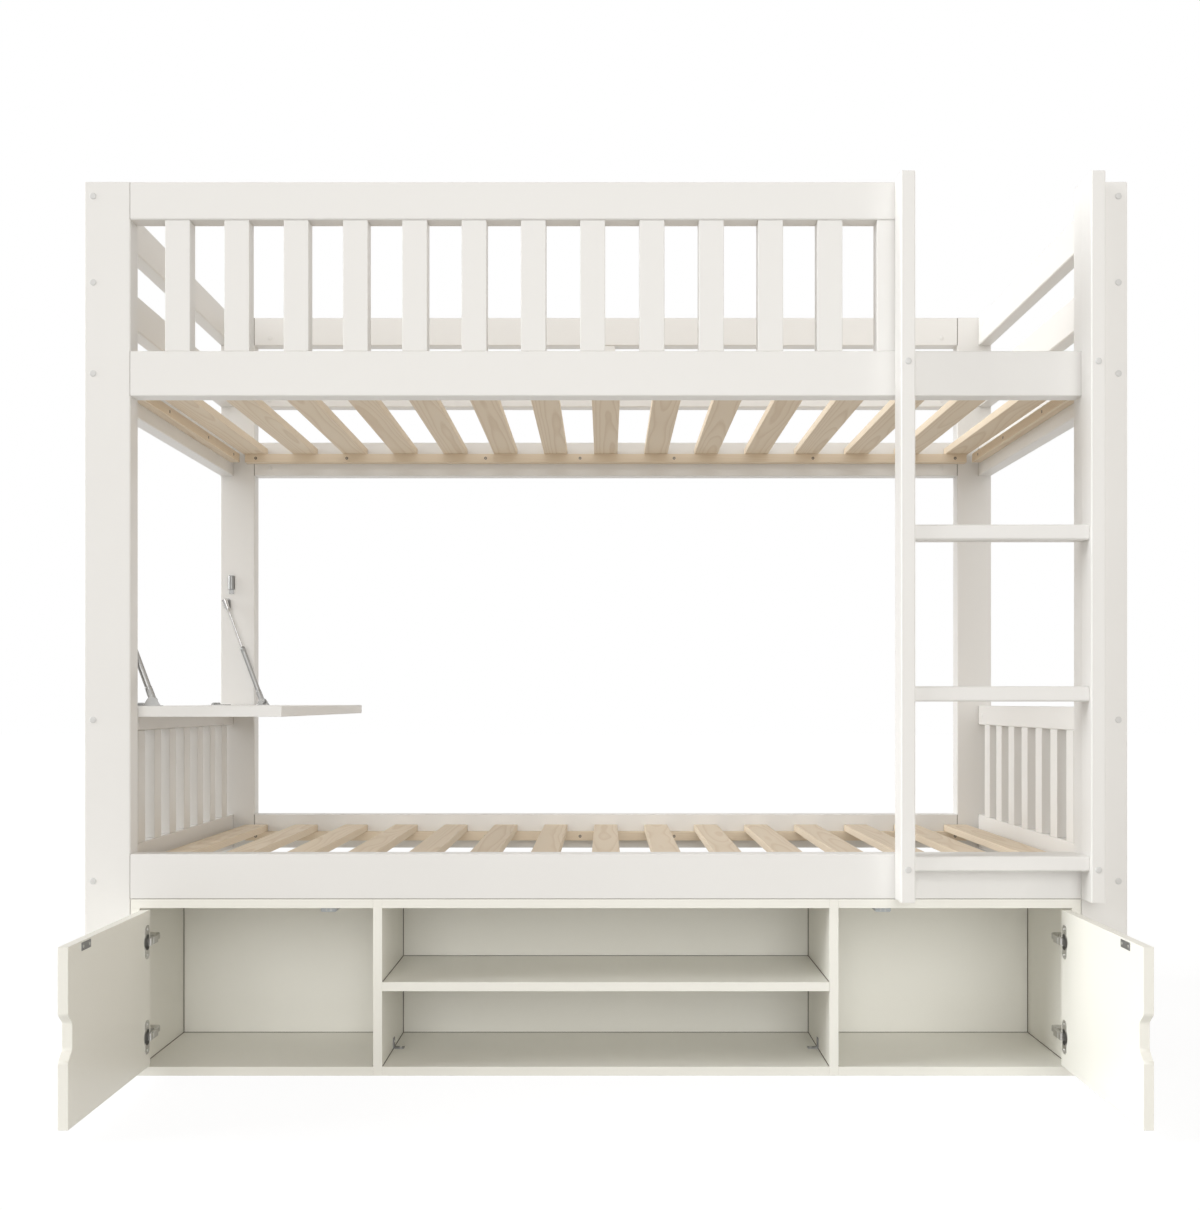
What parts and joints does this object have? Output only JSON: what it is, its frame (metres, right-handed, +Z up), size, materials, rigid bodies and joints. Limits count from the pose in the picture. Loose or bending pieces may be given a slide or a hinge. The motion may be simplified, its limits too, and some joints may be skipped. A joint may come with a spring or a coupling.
{
  "type": "bunk bed",
  "caption": "White wooden bunk bed with slatted guards, a bolted front ladder, a doored cabinet below and a fold-up desk on gas struts.",
  "frame": {"origin": "on the floor under the middle of the whole object's box, with the doors open", "axes": "+X along the bed to the ladder end, +Y from the front to the back, +Z up"},
  "size_m": [2.083, 1.5656, 1.782],
  "materials": {
    "white_paint": "warm white satin paint on solid wood and board",
    "natural_pine": "planed, unpainted pine",
    "nickel_steel": "nickel-plated pressed steel",
    "satin_steel": "satin steel",
    "chrome": "bright chrome",
    "zinc_steel": "zinc-plated",
    "cap_plastic": "white, matte",
    "catch_plastic": "light grey, matte",
    "dark_steel": "dark bronze coat"
  },
  "bodies": {
    "frame": {"post_front_left": "white_paint", "post_front_right": "white_paint", "post_back_left": "white_paint", "post_back_right": "white_paint", "lower_rail_front": "white_paint", "lower_rail_back": "white_paint", "upper_rail_front": "white_paint", "upper_rail_back": "white_paint", "upper_end_rail_left": "white_paint", "upper_end_rail_right": "white_paint", "lower_end_rail_left": "white_paint", "lower_end_rail_right": "white_paint", "end_guard_rails_left": "white_paint", "end_guard_rails_right": "white_paint", "end_panel_top_rails": "white_paint", "end_panel_bars_left": "white_paint", "end_panel_bars_right": "white_paint", "guard_top_rail_front": "white_paint", "guard_slats_front": "white_paint", "guard_rails_back": "white_paint", "guard_uprights_back": "white_paint", "upper_ledgers": "natural_pine", "lower_ledgers": "natural_pine", "upper_slats": "natural_pine", "lower_slats": "natural_pine", "ladder_stile_left": "white_paint", "ladder_stile_right": "white_paint", "ladder_rungs": "white_paint", "cabinet_sides": "white_paint", "cabinet_divider_left": "white_paint", "cabinet_divider_right": "white_paint", "cabinet_top_panels": "white_paint", "cabinet_bottom_panels": "white_paint", "cabinet_shelf": "white_paint", "cabinet_back": "white_paint", "cabinet_corner_brackets": "dark_steel", "hinge_arms": "nickel_steel", "door_catches": "catch_plastic", "desk_hinge_fixed_leaves": "satin_steel", "strut_post_studs": "satin_steel", "desk_catches": "chrome", "frame_bolts": "zinc_steel", "cross_nuts": "zinc_steel", "bolt_caps": "cap_plastic"},
    "left_door": {"door_left": "white_paint", "door_strike_left": "nickel_steel", "hinge_cups_left": "nickel_steel"},
    "right_door": {"door_right": "white_paint", "door_strike_right": "nickel_steel", "hinge_cups_right": "nickel_steel"},
    "left_hinge_links": {"hinge_links_left": "nickel_steel"},
    "right_hinge_links": {"hinge_links_right": "nickel_steel"},
    "desk": {"desk_panel": "white_paint", "desk_hinge_moving_leaves": "satin_steel", "strut_desk_brackets": "satin_steel"},
    "strut_tube_back": {"strut_tube_back": "satin_steel"},
    "strut_tube_front": {"strut_tube_front": "satin_steel"},
    "strut_rod_back": {"strut_rod_back": "chrome"},
    "strut_rod_front": {"strut_rod_front": "chrome"}
  },
  "joints": [
    {"name": "left_door_hinge", "type": "hinge", "parent": "frame", "child": "left_door", "pos_m": [-0.926, -0.32575, 0.176], "axis": [0, 0, 1], "range_deg": [-5, 90]},
    {"name": "right_door_hinge", "type": "hinge", "parent": "frame", "child": "right_door", "pos_m": [0.926, -0.32575, 0.176], "axis": [0, 0, -1], "range_deg": [-5, 90]},
    {"name": "left_link_slide", "type": "slide", "parent": "frame", "child": "left_hinge_links", "axis": [0, 1, 0], "range_m": [-0.0025, 0.0395]},
    {"name": "right_link_slide", "type": "slide", "parent": "frame", "child": "right_hinge_links", "axis": [0, 1, 0], "range_m": [-0.0025, 0.0395]},
    {"name": "desk_fold", "type": "hinge", "parent": "frame", "child": "desk", "pos_m": [-1.0033, 0.22775, 0.7405], "axis": [0, -1, 0], "range_deg": [0, 90]},
    {"name": "strut_pivot_back", "type": "hinge", "parent": "desk", "child": "strut_tube_back", "pos_m": [-0.923, 0.71225, 0.748], "axis": [0, 1, 0], "range_deg": [-1, 109]},
    {"name": "strut_stroke_back", "type": "slide", "parent": "strut_tube_back", "child": "strut_rod_back", "axis": [-0.3472, 0, 0.9378], "range_m": [-0.0905, 0.001]},
    {"name": "strut_pivot_front", "type": "hinge", "parent": "desk", "child": "strut_tube_front", "pos_m": [-0.923, -0.25675, 0.748], "axis": [0, 1, 0], "range_deg": [-1, 109]},
    {"name": "strut_stroke_front", "type": "slide", "parent": "strut_tube_front", "child": "strut_rod_front", "axis": [-0.3472, 0, 0.9378], "range_m": [-0.0905, 0.001]}
  ],
  "couplings": [
    {"joint": "left_link_slide", "follows": "left_door_hinge", "m_per_rad": 0.024828},
    {"joint": "right_link_slide", "follows": "right_door_hinge", "m_per_rad": 0.024828},
    {"joint": "strut_pivot_back", "follows": "desk_fold", "ratio": 1.1948},
    {"joint": "strut_stroke_back", "follows": "desk_fold", "m_per_rad": -0.057268},
    {"joint": "strut_pivot_front", "follows": "desk_fold", "ratio": 1.1948},
    {"joint": "strut_stroke_front", "follows": "desk_fold", "m_per_rad": -0.057268}
  ]
}
